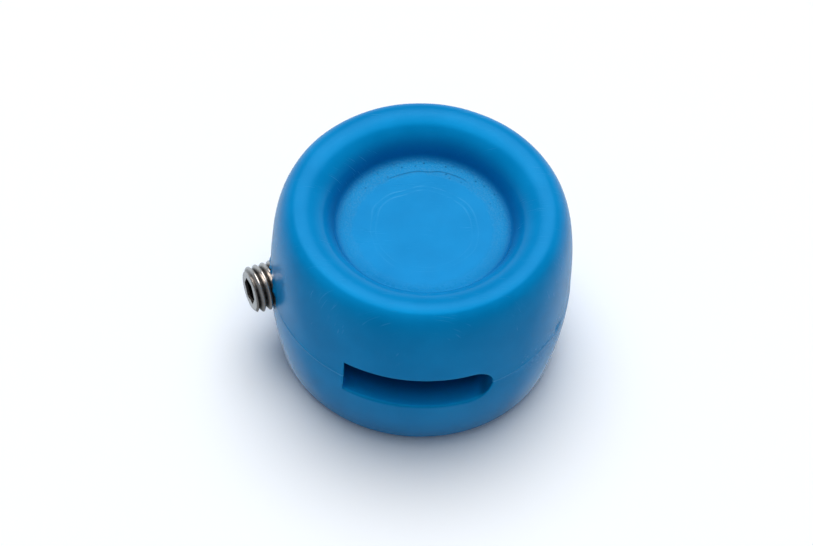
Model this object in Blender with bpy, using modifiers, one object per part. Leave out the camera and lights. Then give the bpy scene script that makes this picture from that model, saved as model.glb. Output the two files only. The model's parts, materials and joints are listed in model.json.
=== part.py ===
"""A thick moulded clamp knob for the end of a flat bar.

The blue body is turned about Z, stands on its flat base at z = 0 and has a dished top. A blind flat
slot opens at its front, at -Y, and takes the bar. A set screw at its left side turns in a brass
insert and pushes a small thrust pad against the bar's edge. All sizes are in metres.
"""

import math

import bmesh
import bpy

# Knob body
KNOB_RADIUS = 0.025
KNOB_HEIGHT = 0.0327
WAIST_Z = 0.0146           # height of the widest ring
CREST_RADIUS = 0.02035     # ring along the top of the rim
SHOULDER_POWER = 3.2       # superellipse power of the shoulder, 2 would be a plain ellipse
BASE_RADIUS = 0.0229
BASE_CORNER = 0.0008
BELLY_POWER = 1.8          # how late the lower side turns in towards the base
DISH_FLOOR_RADIUS = 0.0116
DISH_FLOOR_Z = 0.0270
DISH_WALL_RADIUS = 0.0149  # where the dish wall is steepest
DISH_WALL_Z = 0.0285
DISH_FLOOR_PULL = 0.0018   # how far the curve keeps to the floor, and then to the wall and the rim
DISH_WALL_PULL = (0.0006, 0.0010)
DISH_LIP_PULL = (0.0012, 0.0020)
DISH_RIM_PULL = 0.00295
KNOB_STEPS = 80

# Slot for the bar
SLOT_WIDTH = 0.0244
SLOT_FLOOR_Z = 0.0112
SLOT_CEILING_Z = 0.0182
SLOT_END_Y = 0.0070        # blind end, behind the knob's axis
SLOT_ROUND_END = 0.00345   # corner radius of the end away from the screw, nearly a half round
SLOT_SQUARE_END = 0.0004   # corner radius of the end that the screw comes through

# Set screw and what it runs in, as distances along its axis, inwards from the knob's surface
SCREW_ENTRY = (-0.02478, -0.00331, 0.0147)
SCREW_SKEW = 23.0          # degrees, so that the screw also drives the bar into the slot
SCREW_MAJOR = 0.0080
SCREW_MINOR = 0.00665
SCREW_PITCH = 0.00125
SCREW_FACE_AT = -0.0038
SCREW_THREAD_END_AT = 0.0082
SCREW_POINT_AT = 0.0106
SCREW_POINT_RADIUS = 0.0016
SCREW_CHAMFER = 0.0006
HEX_FLATS = 0.0040
HEX_DEPTH = 0.0042

INSERT_FROM = 0.0040
INSERT_TO = 0.0100
INSERT_RADIUS = 0.0055
INSERT_BORE_RADIUS = 0.00415
INSERT_TEETH = 24
INSERT_TOOTH = 0.0003
INSERT_GROOVE_WIDTH = 0.0014
INSERT_GROOVE_DEPTH = 0.0008

PAD_FROM = 0.0091
PAD_TO = 0.0116
PAD_RADIUS = 0.0030
PAD_SOCKET_RADIUS = 0.0019
PAD_SOCKET_DEPTH = 0.0018

FIT_GAP = 0.0003           # between pieces that touch on the real knob
BORE_RADIUS = SCREW_MAJOR / 2 + FIT_GAP
BORE_TO = 0.0156           # breaks through into the slot
CUT_PAST = 0.0060          # how far a cutter runs beyond the surface it opens


def clear_scene():
    for obj in list(bpy.data.objects):
        bpy.data.objects.remove(obj, do_unlink=True)


def new_collection(name):
    collection = bpy.data.collections.new(name)
    bpy.context.scene.collection.children.link(collection)
    return collection


def new_material(name, colour, roughness, metallic):
    material = bpy.data.materials.new(name)
    material.use_nodes = True
    shader = material.node_tree.nodes["Principled BSDF"]
    shader.inputs["Base Color"].default_value = (*colour, 1.0)
    shader.inputs["Roughness"].default_value = roughness
    shader.inputs["Metallic"].default_value = metallic
    return material


def arc(centre, radii, start, end, steps, power=2.0):
    """Points of an elliptical arc in (radius, height), angles in degrees. Power 2 is a plain ellipse."""
    points = []
    for i in range(steps + 1):
        angle = math.radians(start + (end - start) * i / steps)
        across, up = math.cos(angle), math.sin(angle)
        points.append((
            centre[0] + radii[0] * math.copysign(abs(across) ** (2 / power), across),
            centre[1] + radii[1] * math.copysign(abs(up) ** (2 / power), up),
        ))
    return points


def curve(start, start_pull, end_pull, end, steps):
    """Points of a cubic curve in (radius, height). Each pull is added to its end and shapes it there."""
    first = (start[0] + start_pull[0], start[1] + start_pull[1])
    last = (end[0] + end_pull[0], end[1] + end_pull[1])
    points = []
    for i in range(steps + 1):
        t = i / steps
        weights = ((1 - t) ** 3, 3 * t * (1 - t) ** 2, 3 * t * t * (1 - t), t ** 3)
        points.append(tuple(
            sum(w * p[k] for w, p in zip(weights, (start, first, last, end))) for k in (0, 1)
        ))
    return points


def turned(name, profile, steps, collection):
    """A solid turned about its own Z from (radius, height) points that run from the top axis point
    round the outside to the bottom axis point."""
    mesh = bpy.data.meshes.new(name)
    edges = [(i, i + 1) for i in range(len(profile) - 1)]
    mesh.from_pydata([(max(r, 0.0), 0.0, z) for r, z in profile], edges, [])
    obj = bpy.data.objects.new(name, mesh)
    collection.objects.link(obj)
    screw = obj.modifiers.new("turn", "SCREW")
    screw.axis = "Z"
    screw.steps = screw.render_steps = steps
    screw.use_merge_vertices = True
    screw.merge_threshold = 0.00001
    screw.use_smooth_shade = True
    return obj


def from_bmesh(name, shape, collection):
    mesh = bpy.data.meshes.new(name)
    shape.to_mesh(mesh)
    shape.free()
    obj = bpy.data.objects.new(name, mesh)
    collection.objects.link(obj)
    return obj


def cylinder(name, radius, start, end, sides, collection, turn=0.0):
    """A closed cylinder along its own Z from start to end."""
    shape = bmesh.new()
    bmesh.ops.create_cone(
        shape, cap_ends=True, segments=sides, radius1=radius, radius2=radius, depth=end - start
    )
    bmesh.ops.translate(shape, vec=(0, 0, (start + end) / 2), verts=shape.verts)
    obj = from_bmesh(name, shape, collection)
    obj.rotation_euler = (0, 0, math.radians(turn))
    return obj


def cut(obj, cutter):
    boolean = obj.modifiers.new("cut_" + cutter.name, "BOOLEAN")
    boolean.operation = "DIFFERENCE"
    boolean.solver = "EXACT"
    boolean.object = cutter
    cutter.hide_render = True
    cutter.display_type = "WIRE"


def along_screw(obj, screw_axis):
    """Places a piece that was made along Z on the screw's axis, with its Z pointing inwards."""
    obj.parent = screw_axis


def knob_profile():
    floor = [(0.0, DISH_FLOOR_Z)]
    wall = (DISH_WALL_RADIUS, DISH_WALL_Z)
    fillet = curve(
        (DISH_FLOOR_RADIUS, DISH_FLOOR_Z), (DISH_FLOOR_PULL, 0.0),
        (-DISH_WALL_PULL[0], -DISH_WALL_PULL[1]), wall, 5,
    )
    lip = curve(wall, DISH_LIP_PULL, (-DISH_RIM_PULL, 0.0), (CREST_RADIUS, KNOB_HEIGHT), 8)
    shoulder = arc(
        (CREST_RADIUS, WAIST_Z),
        (KNOB_RADIUS - CREST_RADIUS, KNOB_HEIGHT - WAIST_Z),
        90, 0, 12, SHOULDER_POWER,
    )
    belly = []
    belly_steps = 6
    for i in range(1, belly_steps + 1):
        z = WAIST_Z + (BASE_CORNER - WAIST_Z) * i / belly_steps
        drop = ((WAIST_Z - z) / WAIST_Z) ** BELLY_POWER
        belly.append((KNOB_RADIUS - (KNOB_RADIUS - BASE_RADIUS) * drop, z))
    foot_radius = belly[-1][0]
    foot = arc((foot_radius - BASE_CORNER, BASE_CORNER), (BASE_CORNER, BASE_CORNER), 0, -90, 3)
    return floor + fillet + lip[1:] + shoulder[1:] + belly + foot[1:] + [(0.0, 0.0)]


def slot_cutter(collection):
    """A flat box along Y, round at its +X end and square at its -X end."""
    front = -KNOB_RADIUS - CUT_PAST
    shape = bmesh.new()
    bmesh.ops.create_cube(shape, size=1.0)
    bmesh.ops.scale(
        shape,
        vec=(SLOT_WIDTH, SLOT_END_Y - front, SLOT_CEILING_Z - SLOT_FLOOR_Z),
        verts=shape.verts,
    )
    bmesh.ops.translate(
        shape,
        vec=(0, (SLOT_END_Y + front) / 2, (SLOT_CEILING_Z + SLOT_FLOOR_Z) / 2),
        verts=shape.verts,
    )
    for side, radius, segments in ((1, SLOT_ROUND_END, 6), (-1, SLOT_SQUARE_END, 2)):
        lengthwise = [
            edge for edge in shape.edges
            if all(v.co.x * side > SLOT_WIDTH * 0.49 for v in edge.verts)
            and abs(edge.verts[0].co.y - edge.verts[1].co.y) > SLOT_WIDTH / 2
        ]
        bmesh.ops.bevel(
            shape, geom=lengthwise, offset=radius, offset_type="OFFSET",
            segments=segments, profile=0.5, affect="EDGES",
        )
    return from_bmesh("slot_cutter", shape, collection)


def make_knob_body(parts, cutters, screw_axis, material):
    body = turned("knob_body", knob_profile(), KNOB_STEPS, parts)
    cut(body, slot_cutter(cutters))
    bore = cylinder("bore_cutter", BORE_RADIUS, -CUT_PAST, BORE_TO, 32, cutters)
    pocket = cylinder(
        "insert_pocket_cutter", INSERT_RADIUS + FIT_GAP,
        INSERT_FROM - FIT_GAP, INSERT_TO + FIT_GAP, 40, cutters,
    )
    for cutter in (bore, pocket):
        along_screw(cutter, screw_axis)
        cut(body, cutter)
    body.data.materials.append(material)
    return body


def make_threaded_insert(parts, cutters, screw_axis, material):
    """A brass bush, toothed along its outside, with a groove round its middle that the moulding fills."""
    insert = cylinder("threaded_insert", INSERT_RADIUS, INSERT_FROM, INSERT_TO, 2 * INSERT_TEETH, parts)
    for vert in insert.data.vertices:
        tooth = round(math.atan2(vert.co.y, vert.co.x) / (math.pi / INSERT_TEETH))
        if tooth % 2:
            vert.co.x *= 1 - INSERT_TOOTH / INSERT_RADIUS
            vert.co.y *= 1 - INSERT_TOOTH / INSERT_RADIUS
    bore = cylinder(
        "insert_bore_cutter", INSERT_BORE_RADIUS, INSERT_FROM - CUT_PAST, INSERT_TO + CUT_PAST, 32, cutters
    )
    middle = (INSERT_FROM + INSERT_TO) / 2
    low, high = middle - INSERT_GROOVE_WIDTH / 2, middle + INSERT_GROOVE_WIDTH / 2
    inner, outer = INSERT_RADIUS - INSERT_GROOVE_DEPTH, INSERT_RADIUS + CUT_PAST
    groove = turned(
        "insert_groove_cutter",
        [(inner, high), (outer, high), (outer, low), (inner, low), (inner, high)],
        36, cutters,
    )
    for cutter in (bore, groove):
        along_screw(cutter, screw_axis)
        cut(insert, cutter)
    along_screw(insert, screw_axis)
    insert.data.materials.append(material)
    return insert


def screw_profile():
    """The set screw's outline from its inner point to its socket face. The thread is drawn as rings
    one pitch apart, which fill the same space as its helix."""
    major, minor = SCREW_MAJOR / 2, SCREW_MINOR / 2
    neck = SCREW_THREAD_END_AT
    tip = arc(
        (0.0, SCREW_POINT_AT - SCREW_POINT_RADIUS), (SCREW_POINT_RADIUS, SCREW_POINT_RADIUS), 90, 0, 4
    )
    points = [(0.0, SCREW_POINT_AT)] + tip[1:]
    points += [(SCREW_POINT_RADIUS, neck), (minor, neck)]
    rings = int((neck - SCREW_FACE_AT - SCREW_CHAMFER) / SCREW_PITCH)
    first = SCREW_FACE_AT + SCREW_CHAMFER + rings * SCREW_PITCH
    for ring in range(rings):
        top = first - ring * SCREW_PITCH
        points += [
            (minor, top - SCREW_PITCH * 0.125),
            (major, top - SCREW_PITCH * 0.4375),
            (major, top - SCREW_PITCH * 0.5625),
            (minor, top - SCREW_PITCH * 0.875),
        ]
    points += [(minor, SCREW_FACE_AT + SCREW_CHAMFER / 4), (minor - SCREW_CHAMFER / 4, SCREW_FACE_AT)]
    return points + [(0.0, SCREW_FACE_AT)]


def make_set_screw(parts, cutters, screw_axis, material):
    screw = turned("set_screw", screw_profile(), 24, parts)
    hexagon = cylinder(
        "hex_socket_cutter", HEX_FLATS / math.sqrt(3), SCREW_FACE_AT - CUT_PAST,
        SCREW_FACE_AT + HEX_DEPTH, 6, cutters, turn=18.0,
    )
    for obj in (screw, hexagon):
        along_screw(obj, screw_axis)
    cut(screw, hexagon)
    screw.data.materials.append(material)
    return screw


def make_thrust_pad(parts, screw_axis, material):
    """A small cup that sits on the screw's round point and stays still while the screw turns."""
    edge = 0.0004
    profile = [
        (0.0, PAD_TO),
        (PAD_RADIUS - edge, PAD_TO),
        (PAD_RADIUS, PAD_TO - edge),
        (PAD_RADIUS, PAD_FROM + edge),
        (PAD_RADIUS - edge, PAD_FROM),
        (PAD_SOCKET_RADIUS, PAD_FROM),
        (PAD_SOCKET_RADIUS, PAD_FROM + PAD_SOCKET_DEPTH - edge),
        (PAD_SOCKET_RADIUS - edge, PAD_FROM + PAD_SOCKET_DEPTH),
        (0.0, PAD_FROM + PAD_SOCKET_DEPTH),
    ]
    pad = turned("thrust_pad", profile, 32, parts)
    along_screw(pad, screw_axis)
    pad.data.materials.append(material)
    return pad


def main():
    clear_scene()
    parts = new_collection("clamp_knob")
    cutters = new_collection("cutters")

    screw_axis = bpy.data.objects.new("screw_axis", None)
    screw_axis.location = SCREW_ENTRY
    screw_axis.rotation_euler = (0.0, math.radians(90), math.radians(SCREW_SKEW))
    parts.objects.link(screw_axis)

    blue = new_material("moulded_blue_polymer", (0.015, 0.26, 0.56), 0.35, 0.0)
    steel = new_material("stainless_steel", (0.62, 0.60, 0.58), 0.25, 1.0)
    brass = new_material("brass", (0.72, 0.52, 0.22), 0.35, 1.0)

    make_knob_body(parts, cutters, screw_axis, blue)
    make_threaded_insert(parts, cutters, screw_axis, brass)
    make_set_screw(parts, cutters, screw_axis, steel)
    make_thrust_pad(parts, screw_axis, brass)


main()
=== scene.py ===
import json
import math

import bmesh
import bpy
from mathutils import Matrix, Vector, noise

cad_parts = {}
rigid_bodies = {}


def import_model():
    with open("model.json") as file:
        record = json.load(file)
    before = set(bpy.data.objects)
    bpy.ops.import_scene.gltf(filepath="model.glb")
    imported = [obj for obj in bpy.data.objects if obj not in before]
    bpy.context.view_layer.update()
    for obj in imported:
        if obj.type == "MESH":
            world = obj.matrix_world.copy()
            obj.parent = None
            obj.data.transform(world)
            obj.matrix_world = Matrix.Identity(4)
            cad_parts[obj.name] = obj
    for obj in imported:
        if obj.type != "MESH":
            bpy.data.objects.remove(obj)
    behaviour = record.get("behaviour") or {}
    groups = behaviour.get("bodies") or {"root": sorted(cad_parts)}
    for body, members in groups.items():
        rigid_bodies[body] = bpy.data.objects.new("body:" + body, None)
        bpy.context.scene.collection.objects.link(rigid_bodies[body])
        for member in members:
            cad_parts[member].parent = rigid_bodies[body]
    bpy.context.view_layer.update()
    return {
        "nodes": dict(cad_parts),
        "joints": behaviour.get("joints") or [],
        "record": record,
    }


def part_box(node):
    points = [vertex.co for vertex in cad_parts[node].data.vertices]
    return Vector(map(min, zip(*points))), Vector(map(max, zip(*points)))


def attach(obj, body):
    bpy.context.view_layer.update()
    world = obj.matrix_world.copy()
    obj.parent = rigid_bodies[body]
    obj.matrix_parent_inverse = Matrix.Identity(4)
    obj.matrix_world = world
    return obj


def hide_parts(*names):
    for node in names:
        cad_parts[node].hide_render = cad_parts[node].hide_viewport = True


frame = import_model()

mm = 0.001
near = 0.01 * mm                        # closer than this is the same place
joints = {joint["name"]: joint for joint in frame["joints"]}
mounts = {mount["name"]: mount for mount in frame["record"]["mounts"]}
bodyLow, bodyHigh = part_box("knob_body")
knobRadius = (bodyHigh.y - bodyLow.y) / 2
knobHeight = bodyHigh.z
screwInwards = Vector(joints["screw_turn"]["axis"]).normalized()
screwEntry = Vector(joints["screw_turn"]["pos_m"])
screwAcross = Vector((-screwInwards.y, screwInwards.x, 0))  # level, square to the screw
up = Vector((0, 0, 1))


def smooth(share):
    share = min(1.0, max(0.0, share))
    return share * share * (3 - 2 * share)


def mix(a, b, share):
    return a + (b - a) * share


def arc(centre, radii, start, end, steps, power=2.0):
    # points of an elliptical arc as (radius, height), angles in degrees
    points = []
    for i in range(steps + 1):
        angle = math.radians(start + (end - start) * i / steps)
        across, rise = math.cos(angle), math.sin(angle)
        points.append((
            centre[0] + radii[0] * math.copysign(abs(across) ** (2 / power), across),
            centre[1] + radii[1] * math.copysign(abs(rise) ** (2 / power), rise),
        ))
    return points


def curve(start, startPull, endPull, end, steps):
    # points of a cubic curve, shaped at each end by the pull added to it
    handles = (start, (start[0] + startPull[0], start[1] + startPull[1]),
               (end[0] + endPull[0], end[1] + endPull[1]), end)
    points = []
    for i in range(steps + 1):
        t = i / steps
        weights = ((1 - t) ** 3, 3 * t * (1 - t) ** 2, 3 * t * t * (1 - t), t ** 3)
        points.append(tuple(sum(w * p[k] for w, p in zip(weights, handles)) for k in (0, 1)))
    return points


def roundOut(u, v):
    # carries a square's point to the circle's, keeping its share of the way out
    reach = max(abs(u), abs(v))
    if reach == 0:
        return 0.0, 0.0
    if abs(u) >= abs(v):
        angle = math.pi / 4 * v / u + (math.pi if u < 0 else 0)
    else:
        angle = math.pi / 2 - math.pi / 4 * u / v + (math.pi if v < 0 else 0)
    return reach * math.cos(angle), reach * math.sin(angle)


def selectOnly(*objs):
    if bpy.context.object and bpy.context.object.mode != "OBJECT":
        bpy.ops.object.mode_set(mode="OBJECT")
    bpy.ops.object.select_all(action="DESELECT")
    for obj in objs:
        obj.select_set(True)
    bpy.context.view_layer.objects.active = objs[0]


def pick(obj, kind, test):
    # in edit mode, selects the vertices, edges or faces that pass the test
    if obj.mode != "EDIT":
        selectOnly(obj)
        bpy.ops.object.mode_set(mode="EDIT")
    bpy.ops.mesh.select_mode(type=kind)
    bpy.ops.mesh.select_all(action="DESELECT")
    cage = bmesh.from_edit_mesh(obj.data)
    for part in {"VERT": cage.verts, "EDGE": cage.edges, "FACE": cage.faces}[kind]:
        if test(part):
            part.select_set(True)
    bmesh.update_edit_mesh(obj.data)


def middle(edge):
    return (edge.verts[0].co + edge.verts[1].co) / 2


def newPoint(name, place):
    # one vertex to extrude an outline from
    bpy.ops.object.select_all(action="DESELECT")
    bpy.ops.mesh.primitive_plane_add(size=mm, location=(0, 0, 0))
    obj = bpy.context.active_object
    obj.name = obj.data.name = name
    bpy.ops.object.mode_set(mode="EDIT")
    bpy.ops.mesh.select_mode(type="VERT")
    bpy.ops.mesh.merge(type="CENTER")
    bpy.ops.transform.translate(value=place)
    return obj


def extrudeOutline(outline):
    for (r0, z0), (r1, z1) in zip(outline, outline[1:]):
        bpy.ops.mesh.extrude_region_move(TRANSFORM_OT_translate={"value": (r1 - r0, 0, z1 - z0)})


def turned(name, outline, steps):
    # a closed solid spun round Z from (radius, height) points
    obj = newPoint(name, (outline[0][0], 0, outline[0][1]))
    extrudeOutline(outline)
    bpy.ops.mesh.select_all(action="SELECT")
    bpy.ops.mesh.spin(steps=steps, angle=2 * math.pi, center=(0, 0, 0), axis=(0, 0, 1))
    closeUp()
    return obj


def closeUp():
    bpy.ops.mesh.select_all(action="SELECT")
    bpy.ops.mesh.remove_doubles(threshold=0.001 * mm)
    bpy.ops.mesh.normals_make_consistent(inside=False)
    bpy.ops.object.mode_set(mode="OBJECT")


def combine(obj, other, operation):
    boolean = obj.modifiers.new(operation.lower(), "BOOLEAN")
    boolean.operation = operation
    boolean.solver = "EXACT"
    boolean.object = other
    selectOnly(obj)
    bpy.ops.object.modifier_apply(modifier=boolean.name)
    bpy.data.objects.remove(other, do_unlink=True)


def alongScrew(obj):
    # turns a piece made along Z to lie on the screw's line, Z inwards, and applies it
    obj.matrix_world = Matrix.Translation(screwEntry) @ Matrix(
        (screwAcross, up, screwInwards)
    ).transposed().to_4x4()
    selectOnly(obj)
    bpy.ops.object.transform_apply(location=True, rotation=True, scale=True)


def shadeSmooth(obj, degrees):
    selectOnly(obj)
    bpy.ops.object.shade_smooth_by_angle(angle=math.radians(degrees))


# the knob's body: a thick moulding, turned in outline, with a dished top
knob = {
    "columns": 256,
    "crest": 0.814 * knobRadius,        # ring along the top of the rim
    "waist": 0.584 * knobRadius,        # height of the widest ring
    "shoulderPower": 3.2,               # 2 is a plain ellipse, and more is squarer
    "base": 0.916 * knobRadius,
    "baseCorner": 0.8 * mm,
    "bellyPower": 1.8,
    "sideFrom": 4 * mm,                 # heights between which the side is cut and moved
    "sideTo": 24 * mm,
    "dishFloor": 11.6 * mm,
    "dishDepth": 5.7 * mm,
    "dishWall": 14.9 * mm,              # where the dish wall is steepest
    "wallDrop": 4.2 * mm,               # and how far that is below the crest
    "floorPull": (1.8 * mm, 0),         # how far the outline keeps to the floor, wall and rim
    "wallPull": (0.28 * mm, 1.15 * mm),
    "lipPull": (0.76 * mm, 2.2 * mm),
    "rimPull": (2.95 * mm, 0),
    "wallSteps": 10,
    "lipSteps": 16,
    "shoulderSteps": 44,
    "cornerSteps": 5,
    "rowGap": 0.6 * mm,
    "floorGap": 0.8 * mm,
    "baseGap": 2.2 * mm,
    "ringRadius": 8.5 * mm,             # faint raised ring on the dish floor
    "ringWidth": 0.2 * mm,
    "ringHeight": 0.02 * mm,
    "ringWobble": 0.35 * mm,
    "ringReach": 2.5 * mm,              # how far from the ring the floor's rows bend with it
    "partingHeight": 0.05 * mm,         # the line where the mould's halves met
    "partingWidth": 0.14 * mm,
    "partingWear": 5 * mm,              # length over which it stands up more or less
    "waviness": 0.05 * mm,
    "waveLength": 7 * mm,
    "waveFade": 3 * mm,                 # height above the base where the waves are full
    "notchTurn": 66,                    # degrees round from the slot to a nick on the parting line
    "notchAbove": 0.3 * mm,
    "notchReach": 1.3 * mm,
    "notchDepth": 0.35 * mm,
}
slot = {
    "width": 24.4 * mm,
    "height": 7.0 * mm,
    "middle": mounts["lever_slot"]["pos_m"][2],
    "end": 7.0 * mm,                    # how far past the knob's middle it reaches
    "roundEnd": 3.5 * mm,
    "columns": 21,                      # from the middle to each end
    "rowsEachSide": 6,                  # on each side of the parting line
    "rowsAbove": 1.8 * mm,              # how far up the evenly spaced rows go on
    "ease": 4 * mm,                     # over which moved rows come back to even, above and below
    "cornerEase": 1.2,                  # the same round the rounded end, in corner radii
    "edge": 0.4 * mm,
    "innerEdge": 0.5 * mm,
}
hole = {
    "radius": 4.05 * mm,
    "cells": 7,                         # grid cells from its middle to its edge
    "ease": 1.4,                        # over which the cells come back to square, in its radii
    "depth": 4.6 * mm,                  # into the pocket for the insert
    "edge": 0.12 * mm,
    "flash": 0.4 * mm,                  # how far the ragged skin stands up over its top edge
    "flashWidth": 0.3 * mm,
    "flashGrain": 0.45 * mm,
    "pocketRadius": 5.8 * mm,
    "pocketFrom": 3.7 * mm,
    "pocketTo": 10.3 * mm,
    "boreRadius": 4.3 * mm,
    "boreTo": 15.6 * mm,
}
slotTop = slot["middle"] + slot["height"] / 2
slotBottom = slot["middle"] - slot["height"] / 2
columnAngle = 2 * math.pi / knob["columns"]


def sideRadius(z):
    waist = knob["waist"]
    if z >= waist:
        share = min(1.0, (z - waist) / (knobHeight - waist))
        power = knob["shoulderPower"]
        return knob["crest"] + (knobRadius - knob["crest"]) * (1 - share ** power) ** (1 / power)
    share = (waist - z) / waist
    return knobRadius - (knobRadius - knob["base"]) * share ** knob["bellyPower"]


def evenSteps(start, end, gap):
    count = max(1, round(abs(end - start) / gap))
    return [mix(start, end, i / count) for i in range(count + 1)]


def sideLevels():
    # heights of the rows down the side, with rows on the slot's floor and ceiling
    # and a close group of three along the parting line
    gap = knob["partingWidth"]
    slotGap = slot["height"] / 2 / slot["rowsEachSide"]
    levels = evenSteps(slotTop + slot["rowsAbove"], slotTop, knob["rowGap"])
    levels += evenSteps(slotTop, slot["middle"] + gap, slotGap)[1:]
    levels += [slot["middle"]]
    levels += evenSteps(slot["middle"] - gap, slotBottom, slotGap)
    return levels + evenSteps(slotBottom, knob["baseCorner"], knob["rowGap"])[1:]


def knobOutline():
    dishBottom = knobHeight - knob["dishDepth"]
    wall = (knob["dishWall"], knobHeight - knob["wallDrop"])
    ring, gap = knob["ringRadius"], knob["ringWidth"]
    radii = evenSteps(0, ring - 2 * gap, knob["floorGap"])
    radii += [ring - gap, ring - gap / 2, ring, ring + gap / 2, ring + gap]
    radii += evenSteps(ring + 2 * gap, knob["dishFloor"], knob["rowGap"])
    points = [(r, dishBottom) for r in radii]
    back = [tuple(-v for v in knob[pull]) for pull in ("wallPull", "rimPull")]
    rim = (knob["crest"], knobHeight)
    points += curve(points[-1], knob["floorPull"], back[0], wall, knob["wallSteps"])[1:]
    points += curve(wall, knob["lipPull"], back[1], rim, knob["lipSteps"])[1:]
    levels = sideLevels()
    for point in arc(
        (knob["crest"], knob["waist"]), (knobRadius - knob["crest"], knobHeight - knob["waist"]),
        90, 0, knob["shoulderSteps"], knob["shoulderPower"],
    )[1:]:
        if point[1] > levels[0] + knob["rowGap"] / 2:
            points.append(point)
    points += [(sideRadius(z), z) for z in levels]
    corner = knob["baseCorner"]
    footRadius = points[-1][0] - corner
    points += arc((footRadius, corner), (corner, corner), 0, -90, knob["cornerSteps"])[1:]
    return points + [(r, 0.0) for r in evenSteps(footRadius, 0, knob["baseGap"])[1:]]


def onSide(p):
    return math.hypot(p.x, p.y) > 0.9 * knobRadius and knob["sideFrom"] < p.z < knob["sideTo"]


def slideToSlot(p):
    # moves whole columns onto the slot's two ends, and eases off beyond them
    edge = slot["columns"] * columnAngle
    angle = math.atan2(p.x, -p.y)
    if abs(angle) >= 2 * edge:
        return p
    beyond = max(0.0, p.z - slotTop, slotBottom - p.z)
    wanted = math.asin(slot["width"] / 2 / sideRadius(p.z))
    if abs(angle) <= edge:
        moved = angle * wanted / edge
    else:
        still = 1 - smooth(abs(angle) / edge - 1)
        moved = angle + math.copysign(1, angle) * (wanted - edge) * still
    angle = mix(angle, moved, 1 - smooth(beyond / slot["ease"]))
    r = sideRadius(p.z)
    return Vector((r * math.sin(angle), -r * math.cos(angle), p.z))


def roundSlotEnd(p):
    # rounds the two corners of the slot's right end, the one away from the screw
    corner, ease = slot["roundEnd"], slot["cornerEase"]
    u = (p.x - (slot["width"] / 2 - corner)) / corner
    v = (abs(p.z - slot["middle"]) - (slot["height"] / 2 - corner)) / corner
    reach = max(u, v)
    if p.y > 0 or min(u, v) <= 0 or reach >= 1 + ease:
        return p
    away = 1 - smooth((reach - 1) / ease)
    roundU, roundV = roundOut(u, v)
    u, v = mix(u, roundU, away), mix(v, roundV, away)
    x = slot["width"] / 2 - corner + u * corner
    rise = slot["height"] / 2 - corner + v * corner
    z = slot["middle"] + math.copysign(rise, p.z - slot["middle"])
    return Vector((x, -math.sqrt(sideRadius(z) ** 2 - x * x), z))


def roundHole(p, levels):
    # spreads a square block of cells into the round hole that the screw goes through
    middleColumn = round(math.atan2(screwEntry.x, -screwEntry.y) / columnAngle)
    row = min(range(len(levels)), key=lambda i: abs(levels[i] - p.z))
    middleRow = min(range(len(levels)), key=lambda i: abs(levels[i] - slot["middle"]))
    u = (middleColumn - math.atan2(p.x, -p.y) / columnAngle) / hole["cells"]
    v = (middleRow - row) / hole["cells"]
    reach = max(abs(u), abs(v))
    if p.x > 0 or reach >= 1 + hole["ease"]:
        return p
    away = 1 - smooth((reach - 1) / hole["ease"])
    roundU, roundV = roundOut(u, v)
    offset = p - screwEntry
    a = mix(offset.dot(screwAcross), roundU * hole["radius"], away)
    b = mix(offset.z, roundV * hole["radius"], away)
    start = screwEntry + screwAcross * a + up * b
    along = start.x * screwInwards.x + start.y * screwInwards.y
    out = start.x ** 2 + start.y ** 2 - sideRadius(start.z) ** 2
    return start + screwInwards * (-along - math.sqrt(along ** 2 - out))


def inSlot(p):
    # how far a point lies outside the slot's outline, negative inside
    corner = slot["roundEnd"] if p.x > 0 else 0.0
    u = abs(p.x) - (slot["width"] / 2 - corner)
    v = abs(p.z - slot["middle"]) - (slot["height"] / 2 - corner)
    return math.hypot(max(u, 0), max(v, 0)) + min(0.0, max(u, v)) - corner


def fromScrew(p):
    # distance from the screw's line, and how far along it
    offset = p - screwEntry
    along = offset.dot(screwInwards)
    return (offset - screwInwards * along).length, along


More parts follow.
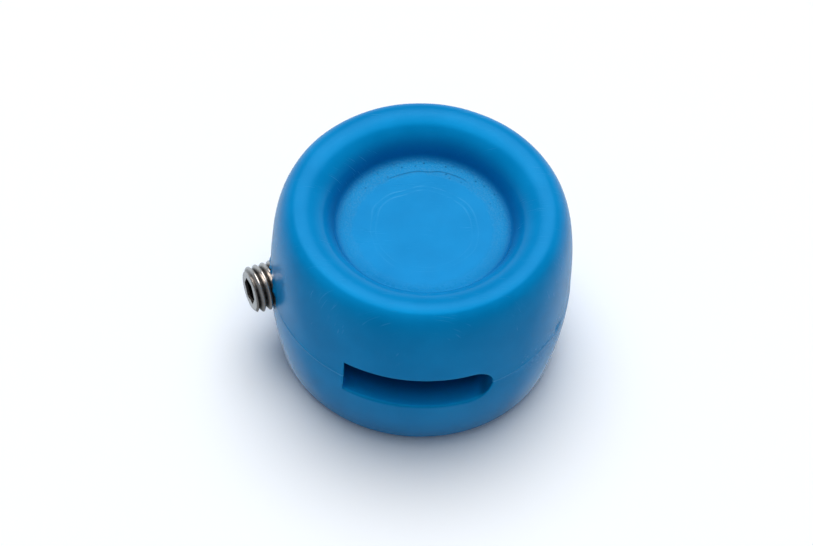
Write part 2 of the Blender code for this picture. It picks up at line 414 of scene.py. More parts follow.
def makeKnob():
    body = turned("knobBody", knobOutline(), knob["columns"])
    levels = sideLevels()
    for vert in body.data.vertices:
        p = vert.co
        if onSide(p):
            p = roundSlotEnd(slideToSlot(p)) if p.y < 0 else p
            vert.co = roundHole(p, levels)

    # the slot: take out its mouth, run the edge back to the blind end and close it
    pick(body, "FACE", lambda f: f.calc_center_median().y < -0.8 * slot["width"] / 2
         and onSide(f.calc_center_median()) and inSlot(f.calc_center_median()) < 0)
    bpy.ops.mesh.delete(type="FACE")
    pick(body, "EDGE", lambda e: e.is_boundary)
    bpy.ops.mesh.extrude_region_move(TRANSFORM_OT_translate={"value": (0, knobRadius, 0)})
    bpy.ops.transform.resize(value=(1, 0, 1), center_override=(0, slot["end"], 0))
    bpy.ops.mesh.edge_face_add()
    pick(body, "EDGE", lambda e: all(
        inSlot(v.co) < near and abs(v.co.y - slot["end"]) < near for v in e.verts))
    bpy.ops.mesh.bevel(offset=slot["innerEdge"], segments=3, affect="EDGES")
    pick(body, "EDGE", lambda e: all(
        v.co.y < 0 and abs(inSlot(v.co)) < near / 2
        and abs(math.hypot(v.co.x, v.co.y) - sideRadius(v.co.z)) < near / 2 for v in e.verts))
    bpy.ops.mesh.bevel(offset=slot["edge"], segments=4, affect="EDGES")

    # the screw's hole, as far as the buried insert
    pick(body, "FACE", lambda f: fromScrew(f.calc_center_median())[0] < hole["radius"] * 0.985
         and fromScrew(f.calc_center_median())[1] < 3 * mm)
    bpy.ops.mesh.delete(type="FACE")
    pick(body, "EDGE", lambda e: e.is_boundary)
    bpy.ops.mesh.extrude_region_move(
        TRANSFORM_OT_translate={"value": screwInwards * hole["depth"]})
    bpy.ops.mesh.edge_face_add()
    pick(body, "EDGE", lambda e: all(
        abs(fromScrew(v.co)[0] - hole["radius"]) < near
        and abs(math.hypot(v.co.x, v.co.y) - sideRadius(v.co.z)) < near for v in e.verts))
    bpy.ops.mesh.bevel(offset=hole["edge"], segments=2, affect="EDGES")
    closeUp()
    return body


def ringLift(p):
    # the wandering ring that the mould's insert left on the dish floor
    turn = math.atan2(p.y, p.x)
    x, y = math.cos(turn), math.sin(turn)
    wander = noise.noise(Vector((x * 1.3, y * 1.3, 4.0)))
    strength = smooth(0.75 + 1.6 * noise.noise(Vector((x * 2.1, y * 2.1, 9.0))))
    off = abs(math.hypot(p.x, p.y) - knob["ringRadius"]) / (knob["ringWidth"] / 2)
    return wander * knob["ringWobble"], max(0.0, 1 - off) * strength * knob["ringHeight"]


def ageSurface(body):
    # what moulding and use leave on the skin: gentle waves, seam, ring, nick and flash
    notchTurn = math.radians(knob["notchTurn"])
    notch = Vector((math.sin(notchTurn), -math.cos(notchTurn), 0)) * sideRadius(slot["middle"])
    notch.z = slot["middle"] + knob["notchAbove"]
    dishBottom = knobHeight - knob["dishDepth"]
    normals = [vert.normal.copy() for vert in body.data.vertices]
    for vert, normal in zip(body.data.vertices, normals):
        p = vert.co.copy()
        r = math.hypot(p.x, p.y)
        skin = r > 0.97 * sideRadius(p.z) and p.z > mm
        waves = noise.noise(p / knob["waveLength"]) * smooth(p.z / knob["waveFade"])
        lift = knob["waviness"] * waves
        if p.z > dishBottom - near and r < knob["dishFloor"]:
            drift, ridge = ringLift(p)
            fade = max(0.0, 1 - abs(r - knob["ringRadius"]) / knob["ringReach"])
            vert.co += Vector((p.x, p.y, 0)) / max(r, mm) * drift * fade
            lift += ridge
        fromHole, depth = fromScrew(p)
        if skin and abs(p.z - slot["middle"]) < near:
            clear = smooth((fromHole - hole["radius"]) / mm)
            if p.y < 0:
                clear *= smooth((inSlot(p) - 0.5 * mm) / mm)
            wear = smooth(0.6 + 1.3 * noise.noise(p / knob["partingWear"]))
            lift += knob["partingHeight"] * clear * mix(0.35, 1, wear)
        atHole = hole["radius"] * 0.98 < fromHole < hole["radius"] + hole["flashWidth"]
        if skin and p.x < 0 and atHole and depth < 2 * mm:
            high = smooth((p.z - screwEntry.z) / hole["radius"] * 1.6 - 0.35)
            ragged = max(0.0, 0.25 + 1.5 * noise.noise(p / hole["flashGrain"]))
            lift += hole["flash"] * high * ragged
        if skin:
            lift -= knob["notchDepth"] * smooth(1 - (p - notch).length / knob["notchReach"])
        vert.co += normal * lift


body = makeKnob()
ageSurface(body)
print("knob body:", len(body.data.polygons), "faces")

pocket = turned("pocketCutter", [
    (0, hole["boreTo"]), (hole["boreRadius"], hole["boreTo"]),
    (hole["boreRadius"], hole["pocketTo"]), (hole["pocketRadius"], hole["pocketTo"]),
    (hole["pocketRadius"], hole["pocketFrom"]), (0, hole["pocketFrom"]),
], 64)
alongScrew(pocket)
combine(body, pocket, "DIFFERENCE")
shadeSmooth(body, 32)
print("screw pocket cut:", len(body.data.polygons), "faces")

# the set screw: a stainless M8 thread with a hexagon socket
screw = {
    "major": 3.97 * mm,
    "minor": 3.24 * mm,
    "pitch": 1.25 * mm,
    "face": -3.8 * mm,
    "threadEnd": 8.2 * mm,
    "point": 10.6 * mm,
    "pointRadius": 1.6 * mm,
    "pointFillet": 0.3 * mm,
    "chamfer": 0.62 * mm,
    "crestFlat": 1 / 16,                # half widths, as shares of the pitch
    "rootFlat": 1 / 12,
    "crestRound": 0.05 * mm,
    "rootRound": (0.012 * mm, 0.07 * mm),
    "flats": 4.0 * mm,
    "socketDepth": 4.2 * mm,
    "countersink": 0.3 * mm,            # its depth, and how far inside the corners it ends
    "countersinkInside": 0.55 * mm,
    "socketCorner": 49.0,               # degrees from level to one of the socket's corners
    "steps": 72,
}


def makeScrew():
    major, minor, pitch = screw["major"], screw["minor"], screw["pitch"]
    crest, root = pitch * screw["crestFlat"], pitch * screw["rootFlat"]
    first, second = screw["rootRound"]
    rising = [
        (minor, 0), (minor + first, root * 0.7), (minor + second, root * 1.25),
        (major - screw["crestRound"], pitch / 2 - crest * 1.35), (major, pitch / 2 - crest * 0.6),
    ]
    groove = rising + [(r, pitch - z) for r, z in reversed(rising)]
    start = screw["face"] - 2 * pitch
    rod = newPoint("setScrew", (groove[0][0], 0, start))
    extrudeOutline(groove)
    bpy.ops.object.mode_set(mode="OBJECT")
    helix = rod.modifiers.new("helix", "SCREW")
    helix.axis = "Z"
    helix.screw_offset = pitch
    helix.iterations = math.ceil((screw["threadEnd"] - start) / pitch) + 2
    helix.steps = helix.render_steps = screw["steps"]
    helix.use_merge_vertices = True
    helix.merge_threshold = 0.001 * mm
    selectOnly(rod)
    bpy.ops.object.modifier_apply(modifier=helix.name)
    for low in (True, False):
        pick(rod, "EDGE", lambda e: e.is_boundary and (middle(e).z < 0) == low)
        outwards = (0, 0, -mm if low else mm)
        bpy.ops.mesh.extrude_region_move(TRANSFORM_OT_translate={"value": outwards})
        bpy.ops.mesh.merge(type="CENTER")
    closeUp()

    # both ends are faced and chamfered, and a rounded point stands on the inner one
    face, threadEnd, chamfer = screw["face"], screw["threadEnd"], screw["chamfer"]
    out, neck = major + 0.3 * mm, minor - 0.1 * mm
    envelope = turned("envelope", [
        (0, threadEnd), (neck, threadEnd), (out, threadEnd - (out - neck)),
        (out, face + (out - major) + chamfer), (major - chamfer, face), (0, face),
    ], 96)
    combine(rod, envelope, "INTERSECT")
    tip, fillet = screw["pointRadius"], screw["pointFillet"]
    point = turned("point", [(0, screw["point"])] + arc(
        (0, screw["point"] - tip), (tip, tip), 90, 0, 8,
    )[1:] + [(tip, threadEnd + fillet), (tip + fillet, threadEnd - 0.05 * mm),
             (tip + fillet, threadEnd - mm), (0, threadEnd - mm)], 48)
    combine(rod, point, "UNION")

    # the hexagon socket, slightly countersunk
    corners = screw["flats"] / math.sqrt(3)
    bpy.ops.object.select_all(action="DESELECT")
    bpy.ops.mesh.primitive_cylinder_add(
        vertices=6, radius=corners, depth=screw["socketDepth"] + 2 * mm,
        location=(0, 0, face + screw["socketDepth"] / 2 - mm),
        rotation=(0, 0, math.radians(screw["socketCorner"] - 90)),
    )
    socket = bpy.context.active_object
    inner, bottom = corners - screw["countersinkInside"], face + screw["countersink"]
    countersink = turned("countersink", [
        (0, bottom), (inner, bottom), (inner + 1.2 * mm, bottom - 1.2 * mm), (0, bottom - 1.2 * mm),
    ], 72)
    combine(rod, socket, "DIFFERENCE")
    combine(rod, countersink, "DIFFERENCE")
    alongScrew(rod)
    shadeSmooth(rod, 28)
    return rod


setScrew = makeScrew()
print("set screw:", len(setScrew.data.polygons), "faces")


def linear(text):
    # an sRGB hex colour as linear values
    shares = [int(text[i:i + 2], 16) / 255 for i in (0, 2, 4)]
    return (*(v / 12.92 if v <= 0.04045 else ((v + 0.055) / 1.055) ** 2.4 for v in shares), 1.0)


def newMaterial(name):
    material = bpy.data.materials.new(name)
    material.use_nodes = True
    tree = material.node_tree
    return material, tree, tree.nodes["Principled BSDF"]


def addNode(tree, kind, settings=None, links=None):
    # a setting goes to the node's property of that name, or else to its socket, and a pair of
    # names takes a pair of values
    node = tree.nodes.new("ShaderNode" + kind)
    for key, value in (settings or {}).items():
        for name, part in zip(key, value) if isinstance(key, tuple) else [(key, value)]:
            if isinstance(name, str) and hasattr(node, name):
                setattr(node, name, part)
            else:
                node.inputs[name].default_value = part
    for key, source in (links or {}).items():
        socket = source if hasattr(source, "is_output") else source.outputs[0]
        tree.links.new(socket, node.inputs[key])
    return node


# settings that several nodes share
product = {"operation": "MULTIPLY"}
larger = {"operation": "MAXIMUM"}
distance = {"operation": "ABSOLUTE"}
softly = {"interpolation_type": "SMOOTHSTEP"}
fromEnds, toEnds = ("From Min", "From Max"), ("To Min", "To Max")

plastic = {
    "blue": "007FBC",
    "paleBlue": "0587C5",
    "wall": "005EA4",                   # painted shade on the dish's wall
    "bloom": "5F9FC6",                  # the greyer skin where the mould was rough
    "rubbed": "4AA6D8",                 # scratches and scuffs, and the ring's painted highlight
    "rubbedEdge": "14B4FA",             # painted light on the slot's floor at its mouth
    "pit": "003A66",
    "dusty": "00306A",                  # painted shade deep inside the slot
    "wallShare": 0.55,                  # how much of each colour shows at most
    "bloomShare": (0.10, 0.34),
    "rubbedShare": 0.32,
    "ringShare": 0.45,
    "markShare": 0.35,
    "dustShare": 0.85,
    "roughness": (0.14, 0.28),
    "bandRoughness": 0.18,              # added on the band and on rubbed places
    "rubbedRoughness": 0.2,
    "glossTint": "1CB0F2",
    # sizes and places from here on, all in mm, and a pair is where a thing begins and where it
    # has come or gone in full
    "dishHeights": (25.5, 26.5),
    "cloudWidth": 9.0,
    "wallStart": (13.5, 14.6),
    "wallEnd": (15.0, 17.2),
    "bandStart": (11.1, 12.0),          # radii of the rough band in the dish's corner
    "bandEnd": (13.9, 14.9),
    "bandWander": 0.7,
    "bandBack": (-11.0, 6.0),           # from front to back
    "grit": 0.28,
    "pitsPerMm": 0.9,
    "pitSize": (0.07, 0.17),
    "pitBack": (3.0, 9.0),
    "scratchLength": 5.0,
    "scratchWidth": 0.16,
    "scratchHeights": (21.0, 29.0),
    "hairlineRadius": 12.05,
    "hairlineWander": 1.1,
    "hairlineWidth": (0.03, 0.14),      # half of it, as are the ring's and the seam's
    "hairlineBack": (9.6, 11.2),
    "ringRadius": 8.6,
    "ringWander": 0.9,
    "ringSpacing": 0.9,
    "ringWidth": (0.04, 0.16),
    "ringBack": (2.0, 8.0),
    "slotInside": (3.6, 3.8),           # up or down from the slot's middle
    "slotDust": (18.0, 23.8),
    "rubbedBelow": (-2.8, -3.3),
    "mouthInner": (20.5, 24.3),         # radii between which the slot's floor is painted lighter
    "mouthOuter": (24.5, 24.78),
    "skinRadius": (23.0, 24.0),
    "seamWidth": (0.05, 0.22),
    "scuffReach": (1.0, 7.0),
    "scuffSide": (13.0, 19.0),
    "skinRelief": 0.0012,
    "gritRelief": 0.03,
    "scuffRelief": 0.03,
    "scratchRelief": -0.015,
    "markRelief": -0.06,
}


def blueMoulding():
    # a soft thermoplastic such as polypropylene, injection moulded: a satin skin, saturated right
    # through, greyer and rougher in the dish's corner and finely scratched by handling, with
    # painted shade on the dish's wall and in the slot, and painted light on the floor's ring and at
    # the slot's mouth
    material, tree, shader = newMaterial("mouldedBluePolypropylene")
    place = addNode(tree, "TexCoord").outputs["Object"]
    inMm = addNode(tree, "VectorMath", {"operation": "SCALE", "Scale": 1 / mm}, {0: place})
    x, y, z = addNode(tree, "SeparateXYZ", links={0: inMm}).outputs
    level = addNode(tree, "CombineXYZ", links={"X": x, "Y": y})
    radius = addNode(tree, "VectorMath", {"operation": "LENGTH"}, {0: level}).outputs["Value"]
    inDish = addNode(tree, "MapRange", {fromEnds: plastic["dishHeights"]}, {"Value": z})

    # broad, barely seen clouds in the colour
    clouds = addNode(tree, "TexNoise", {
        "Scale": 1 / plastic["cloudWidth"], "Detail": 3.0}, {"Vector": inMm})
    cloudShare = addNode(tree, "MapRange", {fromEnds: (0.35, 0.65)}, {"Value": clouds})

    # the rough band round the dish's corner, with an uneven edge, clearest at the back
    ragged = addNode(tree, "TexNoise", {"Scale": 0.5, "Detail": 4.0}, {"Vector": inMm})
    drift = addNode(tree, "MapRange", {
        toEnds: (-plastic["bandWander"], plastic["bandWander"])}, {"Value": ragged})
    unevenRadius = addNode(tree, "Math", {"operation": "ADD"}, {0: radius, 1: drift})
    band = addNode(tree, "MapRange", softly | {
        fromEnds: plastic["bandStart"]}, {"Value": unevenRadius})
    bandEnd = addNode(tree, "MapRange", softly | {
        fromEnds: plastic["bandEnd"], toEnds: (1.0, 0.0)}, {"Value": radius})
    bandBack = addNode(tree, "MapRange", {
        fromEnds: plastic["bandBack"], "To Min": 0.35}, {"Value": y})
    for share in (bandEnd, inDish, bandBack):
        band = addNode(tree, "Math", product, {0: band, 1: share})

    # grit in the mould: fine bright grain and a few dark pits
    grit = addNode(tree, "TexNoise", {
        "Scale": 1 / plastic["grit"], "Detail": 2.0}, {"Vector": inMm})
    grain = addNode(tree, "MapRange", {fromEnds: (0.42, 0.72)}, {"Value": grit})
    grainOnBand = addNode(tree, "Math", product, {0: grain, 1: band})
    pitSpots = addNode(tree, "TexVoronoi", {"Scale": plastic["pitsPerMm"]}, {"Vector": inMm})
    pits = addNode(tree, "MapRange", {
        fromEnds: plastic["pitSize"], toEnds: (1.0, 0.0)}, {"Value": pitSpots})
    pitBack = addNode(tree, "MapRange", {fromEnds: plastic["pitBack"]}, {"Value": y})
    for share in (band, pitBack):
        pits = addNode(tree, "Math", product, {0: pits, 1: share})

    # handling scratches: streaks of noise pulled out lengthwise, in three directions
    streaks = None
    for angle, seed in ((12, 3.0), (-34, 11.0), (71, 23.0)):
        lengthwise = addNode(tree, "Mapping", {
            "Rotation": (0, 0, math.radians(angle)), "Location": (seed, seed, seed),
            "Scale": (1 / plastic["scratchLength"], 1 / plastic["scratchWidth"], 0.25),
        }, {"Vector": inMm})
        streak = addNode(tree, "TexNoise", {
            "Scale": 1.0, "Detail": 1.0, "Distortion": 0.15}, {"Vector": lengthwise})
        thin = addNode(tree, "MapRange", {fromEnds: (0.70, 0.78)}, {"Value": streak})
        streaks = addNode(tree, "Math", larger, {0: thin, 1: streaks}) if streaks else thin
    patches = addNode(tree, "TexNoise", {"Scale": 0.16, "Detail": 2.0}, {"Vector": inMm})
    patchy = addNode(tree, "MapRange", {fromEnds: (0.45, 0.62)}, {"Value": patches})
    upperSide = addNode(tree, "MapRange", {
        fromEnds: plastic["scratchHeights"], "To Min": 0.05}, {"Value": z})
    patchyTop = addNode(tree, "Math", product, {0: patchy, 1: upperSide})
    scratches = addNode(tree, "Math", product, {0: streaks, 1: patchyTop})

    # a wavy dark hairline at the back of the floor, where the mould's insert met its surround
    wave = addNode(tree, "TexNoise", {"Scale": 0.2, "Detail": 0.6}, {"Vector": inMm})
    waveDrift = addNode(tree, "MapRange", {
        toEnds: (-plastic["hairlineWander"], plastic["hairlineWander"])}, {"Value": wave})
    lineRadius = addNode(tree, "Math", {"operation": "ADD"}, {0: radius, 1: waveDrift})
    fromLine = addNode(tree, "Math", {
        "operation": "SUBTRACT", 1: plastic["hairlineRadius"]}, {0: lineRadius})
    lineGap = addNode(tree, "Math", distance, {0: fromLine})
    hairline = addNode(tree, "MapRange", {
        fromEnds: plastic["hairlineWidth"], toEnds: (1.0, 0.0)}, {"Value": lineGap})
    lineBack = addNode(tree, "MapRange", {fromEnds: plastic["hairlineBack"]}, {"Value": y})
    for share in (lineBack, inDish):
        hairline = addNode(tree, "Math", product, {0: hairline, 1: share})

    # the ring on the floor, as a painted highlight: two pale wandering lines, clear at the back and
    # faint elsewhere
    ringNoise = addNode(tree, "TexNoise", {"Scale": 0.16, "Detail": 1.0}, {"Vector": inMm})
    ringDrift = addNode(tree, "MapRange", {
        toEnds: (-plastic["ringWander"], plastic["ringWander"])}, {"Value": ringNoise})
    ringRadius = addNode(tree, "Math", {"operation": "ADD"}, {0: radius, 1: ringDrift})
    ringGap = ringRadius
    for offset in (plastic["ringRadius"], plastic["ringSpacing"] / 2):
        fromRing = addNode(tree, "Math", {"operation": "SUBTRACT", 1: offset}, {0: ringGap})
        ringGap = addNode(tree, "Math", distance, {0: fromRing})
    ring = addNode(tree, "MapRange", {
        fromEnds: plastic["ringWidth"], toEnds: (1.0, 0.0)}, {"Value": ringGap})
    ringBreaks = addNode(tree, "TexNoise", {"Scale": 0.3, "Detail": 2.0}, {"Vector": inMm})
    ringPieces = addNode(tree, "MapRange", {
        fromEnds: (0.42, 0.6), "To Min": 0.15}, {"Value": ringBreaks})
    ringBack = addNode(tree, "MapRange", {
        fromEnds: plastic["ringBack"], "To Min": 0.3}, {"Value": y})
    for share in (ringPieces, ringBack, inDish):
        ring = addNode(tree, "Math", product, {0: ring, 1: share})

    # painted shade inside the slot, darker away from the mouth
    fromSeam = addNode(tree, "Math", {"operation": "SUBTRACT", 1: slot["middle"] / mm}, {0: z})
    seamGap = addNode(tree, "Math", distance, {0: fromSeam})
    slotInside = addNode(tree, "MapRange", {
        fromEnds: plastic["slotInside"], toEnds: (1.0, 0.0)}, {"Value": seamGap})
    slotDepth = addNode(tree, "MapRange", softly | {
        fromEnds: plastic["slotDust"], toEnds: (plastic["dustShare"], 0.0)}, {"Value": radius})
    slotShadeMask = addNode(tree, "Math", product, {0: slotInside, 1: slotDepth})

    # painted light on the slot's floor and lower edge, strongest near the mouth
    rubbedEdge = addNode(tree, "MapRange", {fromEnds: plastic["rubbedBelow"]}, {"Value": fromSeam})
    mouthInner = addNode(tree, "MapRange", softly | {
        fromEnds: plastic["mouthInner"]}, {"Value": radius})
    mouthOuter = addNode(tree, "MapRange", {
        fromEnds: plastic["mouthOuter"], toEnds: (1.0, 0.0)}, {"Value": radius})
    for share in (slotInside, mouthInner, mouthOuter):
        rubbedEdge = addNode(tree, "Math", product, {0: rubbedEdge, 1: share})

    # the parting line round the side, scuffed to the right of the slot
    onSkin = addNode(tree, "MapRange", {fromEnds: plastic["skinRadius"]}, {"Value": radius})
    seamShape = addNode(tree, "MapRange", {
        fromEnds: plastic["seamWidth"], toEnds: (1.0, 0.0)}, {"Value": seamGap})
    seam = addNode(tree, "Math", product, {0: seamShape, 1: onSkin})
    scuffHeight = addNode(tree, "MapRange", softly | {
        fromEnds: plastic["scuffReach"], toEnds: (1.0, 0.0)}, {"Value": seamGap})
    scuffSide = addNode(tree, "MapRange", softly | {
        fromEnds: plastic["scuffSide"]}, {"Value": x})
    scuffNoise = addNode(tree, "TexNoise", {
        "Scale": 1.1, "Detail": 6.0, "Roughness": 0.7}, {"Vector": inMm})
    scuffs = addNode(tree, "MapRange", {
        fromEnds: (0.5, 0.72), "To Max": 0.7}, {"Value": scuffNoise})
    for share in (scuffHeight, scuffSide, onSkin):
        scuffs = addNode(tree, "Math", product, {0: scuffs, 1: share})

    # colour, from the moulding's own tones to what lies on it, with painted shade and painted light
    # among them
    tone = addNode(tree, "MixRGB", {
        1: linear(plastic["blue"]), 2: linear(plastic["paleBlue"])}, {0: cloudShare})
    # painted shade on the dish's wall, between these radii and in the dish only
    wall = addNode(tree, "MapRange", softly | {
        fromEnds: plastic["wallStart"]}, {"Value": radius})
    wallEnd = addNode(tree, "MapRange", softly | {
        fromEnds: plastic["wallEnd"], toEnds: (plastic["wallShare"], 0.0)}, {"Value": radius})
    for share in (wallEnd, inDish):
        wall = addNode(tree, "Math", product, {0: wall, 1: share})
    bandGrain = addNode(tree, "MapRange", {toEnds: plastic["bloomShare"]}, {"Value": grain})
    bloom = addNode(tree, "Math", product, {0: band, 1: bandGrain})
    rubbed = addNode(tree, "Math", larger, {0: scratches, 1: scuffs})
    rubbed = addNode(tree, "Math", larger, {0: rubbed, 1: seam})
    rubShare = addNode(tree, "Math", product | {1: plastic["rubbedShare"]}, {0: rubbed})
    ringShare = addNode(tree, "Math", product | {1: plastic["ringShare"]}, {0: ring})
    paleWearAndHighlight = addNode(tree, "Math", larger, {0: rubShare, 1: ringShare})
    marks = addNode(tree, "Math", larger, {0: pits, 1: hairline})
    markShare = addNode(tree, "Math", product | {1: plastic["markShare"]}, {0: marks})
    # the wall and the slot's depths take painted shade, and the ring and the slot's mouth painted
    # light
    for colour, share in (("wall", wall), ("bloom", bloom), ("rubbed", paleWearAndHighlight), ("pit", markShare),
                          ("dusty", slotShadeMask), ("rubbedEdge", rubbedEdge)):
        tone = addNode(tree, "MixRGB", {2: linear(plastic[colour])}, {0: share, 1: tone})
    tree.links.new(tone.outputs[0], shader.inputs["Base Color"])

    # gloss
    fine = addNode(tree, "TexNoise", {"Scale": 0.8, "Detail": 5.0}, {"Vector": inMm})
    rough = addNode(tree, "MapRange", {toEnds: plastic["roughness"]}, {"Value": fine})
    for added, share in ((plastic["bandRoughness"], band), (plastic["rubbedRoughness"], rubbed)):
        rough = addNode(tree, "Math", {
            "operation": "MULTIPLY_ADD", 1: added}, {0: share, 2: rough})
    tree.links.new(rough.outputs[0], shader.inputs["Roughness"])
    shader.inputs["Specular Tint"].default_value = linear(plastic["glossTint"])
    shader.inputs["IOR"].default_value = 1.49

    # relief: a soft skin, the grit, and marks cut into it
    height = addNode(tree, "Math", product | {1: plastic["skinRelief"]}, {0: fine})
    for depth, share in (("gritRelief", grainOnBand), ("scuffRelief", scuffs),
                         ("scratchRelief", scratches), ("markRelief", marks)):
        height = addNode(tree, "Math", {
            "operation": "MULTIPLY_ADD", 1: plastic[depth]}, {0: share, 2: height})
    relief = addNode(tree, "Bump", {"Strength": 1.0, "Distance": mm}, {"Height": height})
    tree.links.new(relief.outputs[0], shader.inputs["Normal"])
    return material


def alongScrewInMm(tree):
    # places measured from the hole's mouth, with Z along the screw, in mm
    place = addNode(tree, "TexCoord").outputs["Object"]
    return addNode(tree, "Mapping", {
        "vector_type": "TEXTURE", "Location": screwEntry, "Scale": (mm, mm, mm),
        "Rotation": Matrix((screwAcross, up, screwInwards)).transposed().to_euler(),
    }, {"Vector": place})


steel = {
    "colour": "F8EDE6",
    "warm": "C4BCB2",
    # oil, dust and painted shade in the thread's roots, and painted shade on the socket's walls
    "darkRoot": "151413",
    "roughness": (0.18, 0.34),
    "rootRoughness": 0.25,              # added in the roots and the socket
    "socketRadii": (2.25, 2.35),        # in mm
    "turningPitch": 0.12,               # of the cutter's rings on the face, in mm
    "turningRelief": 0.0035,
    "stainRelief": 0.012,
}


def stainless():
    # austenitic stainless steel: the thread is rolled and shines along its crests, its roots are
    # darkened by oil and dust and by painted shade, the socket's walls carry painted shade, and the
    # faced end shows the lathe's fine rings
    material, tree, shader = newMaterial("rolledStainlessSteel")
    along = alongScrewInMm(tree)
    x, y, z = addNode(tree, "SeparateXYZ", links={0: along}).outputs
    level = addNode(tree, "CombineXYZ", links={"X": x, "Y": y})
    radius = addNode(tree, "VectorMath", {"operation": "LENGTH"}, {0: level}).outputs["Value"]
    face = screw["face"] / mm
    behindFace = addNode(tree, "MapRange", {fromEnds: (face + 0.1, face + 0.5)}, {"Value": z})
    fromRoot = addNode(tree, "MapRange", softly | {
        fromEnds: (screw["minor"] / mm - 0.02, screw["major"] / mm - 0.12)}, {"Value": radius})
    stain = addNode(tree, "TexNoise", {"Scale": 1.6, "Detail": 5.0}, {"Vector": along})
    stainShare = addNode(tree, "MapRange", {
        fromEnds: (0.3, 0.7), "To Min": 0.8}, {"Value": stain})
    # painted shade, with oil and dust, in the thread's roots and on the socket's walls
    roots = addNode(tree, "Math", {"operation": "SUBTRACT", 0: 1.0}, {1: fromRoot})
    for share in (behindFace, stainShare):
        roots = addNode(tree, "Math", product, {0: roots, 1: share})
    inSocket = addNode(tree, "MapRange", {
        fromEnds: steel["socketRadii"], toEnds: (1.0, 0.0)}, {"Value": radius})
    socketWallShade = addNode(tree, "Math", product, {0: inSocket, 1: behindFace})
    oilAndShadeShare = addNode(tree, "Math", larger, {0: roots, 1: socketWallShade})
    tone = addNode(tree, "MixRGB", {
        1: linear(steel["colour"]), 2: linear(steel["warm"])}, {0: stain})
    coloured = addNode(tree, "MixRGB", {2: linear(steel["darkRoot"])}, {0: oilAndShadeShare, 1: tone})
    tree.links.new(coloured.outputs[0], shader.inputs["Base Color"])
    shader.inputs["Metallic"].default_value = 1.0
    rough = addNode(tree, "MapRange", {toEnds: steel["roughness"]}, {"Value": stain})
    roughRoots = addNode(tree, "Math", {
        "operation": "MULTIPLY_ADD", 1: steel["rootRoughness"]}, {0: oilAndShadeShare, 2: rough})
    tree.links.new(roughRoots.outputs[0], shader.inputs["Roughness"])
    turns = addNode(tree, "Math", product | {1: 2 * math.pi / steel["turningPitch"]}, {0: radius})
    rings = addNode(tree, "Math", {"operation": "SINE"}, {0: turns})
    onFace = addNode(tree, "Math", {"operation": "SUBTRACT", 0: 1.0}, {1: behindFace})
    faceRings = addNode(tree, "Math", product, {0: rings, 1: onFace})
    ringHeight = addNode(tree, "Math", product | {1: steel["turningRelief"]}, {0: faceRings})
    height = addNode(tree, "Math", {
        "operation": "MULTIPLY_ADD", 1: steel["stainRelief"]}, {0: stain, 2: ringHeight})
    relief = addNode(tree, "Bump", {"Strength": 1.0, "Distance": mm}, {"Height": height})
    tree.links.new(relief.outputs[0], shader.inputs["Normal"])
    return material


turnedBrass = {
    "colour": "D2B068",
    "bloom": "A9823F",
    "roughness": (0.2, 0.42),
    "turningPitch": 0.15,               # in mm
    "turningRelief": 0.004,
}


def brass():
    # free-cutting brass, turned on a lathe: warm yellow, with fine rings along its length and a
    # slightly browner bloom where it was handled
    material, tree, shader = newMaterial("turnedBrass")
    along = alongScrewInMm(tree)
    z = addNode(tree, "SeparateXYZ", links={0: along}).outputs["Z"]
    bloom = addNode(tree, "TexNoise", {"Scale": 0.7, "Detail": 5.0}, {"Vector": along})
    tone = addNode(tree, "MixRGB", {
        1: linear(turnedBrass["colour"]), 2: linear(turnedBrass["bloom"])}, {0: bloom})
    tree.links.new(tone.outputs[0], shader.inputs["Base Color"])
    shader.inputs["Metallic"].default_value = 1.0
    rough = addNode(tree, "MapRange", {toEnds: turnedBrass["roughness"]}, {"Value": bloom})
    tree.links.new(rough.outputs[0], shader.inputs["Roughness"])
    turns = addNode(tree, "Math", product | {1: 2 * math.pi / turnedBrass["turningPitch"]}, {0: z})
    rings = addNode(tree, "Math", {"operation": "SINE"}, {0: turns})
    height = addNode(tree, "Math", product | {1: turnedBrass["turningRelief"]}, {0: rings})
    relief = addNode(tree, "Bump", {"Strength": 1.0, "Distance": mm}, {"Height": height})
    tree.links.new(relief.outputs[0], shader.inputs["Normal"])
    return material


def dress(obj, material):
    obj.data.materials.clear()
    obj.data.materials.append(material)


dress(body, blueMoulding())
dress(setScrew, stainless())
brassMaterial = brass()
for node in ("threaded_insert", "thrust_pad"):
    dress(frame["nodes"][node], brassMaterial)
print("finishes given: moulding, steel and brass")

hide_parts("knob_body")
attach(body, "knob")
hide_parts("set_screw")
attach(setScrew, "screw")

# floor, light and camera
studio = {
    "floorSize": 6.0,
    "floorDrop": 0.05 * mm,             # keeps the floor clear of the base
    "floorColour": "FBFBFC",
    "floorRoughness": 0.8,
    "skyBright": 5.0,                   # radiance of the soft light overhead
    "skyDim": 0.25,                     # and of the dim room in front
    "skyTowards": (0, 0.28, 0.96),
    "skyEdge": (0.83, 0.975),           # cosines from its middle where it fades out
    "roomColour": "E6F3FF",
    "backdropBright": 0.78,             # radiance of the white card low down behind and beside
    "backdropColour": "DFF0FF",
    "backdropPull": (0.45, 0.65, 0.25),  # how much side, back and down count as card
    "backdropEdge": (0.35, 0.75),
    "cameraDistance": 0.875,
    "cameraElevation": 52.0,
    "cameraTurn": -1.7,
    "cameraRoll": 3.55,
    "lens": 232.7,
    "aimLeft": 2.314 * mm,
    "aimUp": 0.1 * mm,
    "aimHeight": 15 * mm,
}

bpy.ops.object.select_all(action="DESELECT")
bpy.ops.mesh.primitive_plane_add(size=studio["floorSize"], location=(0, 0, -studio["floorDrop"]))
floor = bpy.context.active_object
floor.name = "floor"
floor.visible_glossy = False            # gloss shows the studio, not an endless white board
floorMaterial, tree, shader = newMaterial("matteWhiteBoard")
shader.inputs["Base Color"].default_value = linear(studio["floorColour"])
shader.inputs["Roughness"].default_value = studio["floorRoughness"]
dress(floor, floorMaterial)

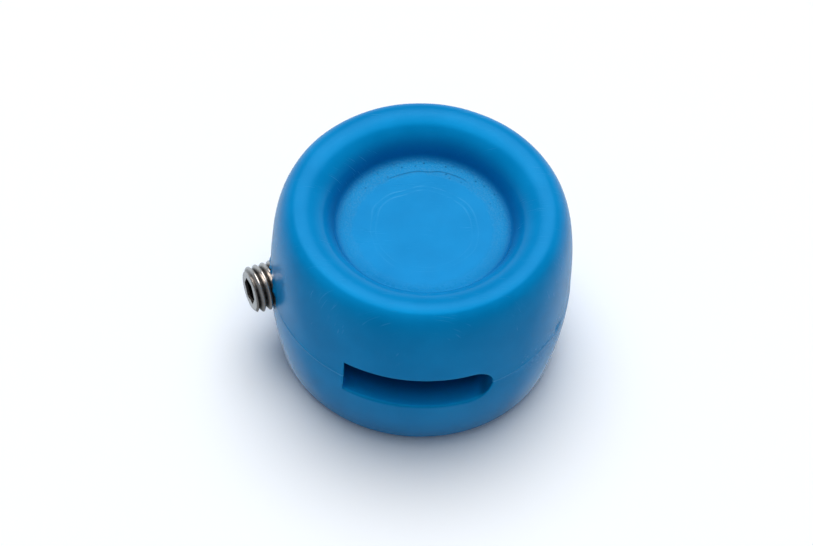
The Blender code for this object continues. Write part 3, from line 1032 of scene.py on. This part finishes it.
scene = bpy.context.scene
scene.view_settings.view_transform = "Standard"
world = bpy.data.worlds.new("softStudio")
scene.world = world
world.use_nodes = True
tree = world.node_tree
sky = addNode(tree, "TexCoord").outputs["Generated"]
x, y, z = addNode(tree, "SeparateXYZ", links={0: sky}).outputs

# the soft light overhead, and the card, which counts the more a direction is to the side, to the
# back and low down
brightWay = Vector(studio["skyTowards"]).normalized()
overhead = addNode(tree, "VectorMath", {"operation": "DOT_PRODUCT", 1: brightWay}, {0: sky})
softbox = addNode(tree, "MapRange", softly | {
    fromEnds: studio["skyEdge"], toEnds: (studio["skyDim"], studio["skyBright"]),
}, {"Value": overhead.outputs["Value"]})
sidePull, backPull, downPull = studio["backdropPull"]
sideways = addNode(tree, "Math", distance, {0: x})
cardWay = addNode(tree, "Math", product | {1: sidePull}, {0: sideways})
for pull, axis in ((backPull, y), (-downPull, z)):
    cardWay = addNode(tree, "Math", {"operation": "MULTIPLY_ADD", 1: pull}, {0: axis, 2: cardWay})
card = addNode(tree, "MapRange", softly | {
    fromEnds: studio["backdropEdge"], "To Max": studio["backdropBright"]}, {"Value": cardWay})
glow = addNode(tree, "Math", larger, {0: softbox, 1: card})

# the light is white, and the dim room and the card are faintly blue
lightShare = addNode(tree, "MapRange", {
    fromEnds: (studio["skyDim"], studio["skyBright"])}, {"Value": softbox})
cardShare = addNode(tree, "MapRange", {"From Max": studio["backdropBright"]}, {"Value": card})
roomTint = addNode(tree, "MixRGB", {
    1: linear(studio["roomColour"]), 2: (1, 1, 1, 1)}, {0: lightShare})
tint = addNode(tree, "MixRGB", {
    2: linear(studio["backdropColour"])}, {0: cardShare, 1: roomTint})
background = tree.nodes["Background"]
tree.links.new(tint.outputs[0], background.inputs["Color"])
tree.links.new(glow.outputs[0], background.inputs["Strength"])

turn, rise = math.radians(studio["cameraTurn"]), math.radians(studio["cameraElevation"])
roll = math.radians(studio["cameraRoll"])
back = Vector((math.sin(turn) * math.cos(rise), -math.cos(turn) * math.cos(rise), math.sin(rise)))
flat = Vector((math.cos(turn), math.sin(turn), 0))
steep = back.cross(flat)
right = flat * math.cos(roll) + steep * math.sin(roll)
above = steep * math.cos(roll) - flat * math.sin(roll)
aim = Vector((0, 0, studio["aimHeight"])) - right * studio["aimLeft"] + above * studio["aimUp"]
cameraData = bpy.data.cameras.new("camera")
cameraData.lens = studio["lens"]
cameraData.sensor_width = 36
cameraData.clip_start, cameraData.clip_end = 0.01, 20
camera = bpy.data.objects.new("camera", cameraData)
camera.matrix_world = Matrix.Translation(aim + back * studio["cameraDistance"]) @ Matrix(
    (right, above, back)).transposed().to_4x4()
scene.collection.objects.link(camera)
scene.camera = camera
print("floor, light and camera placed")
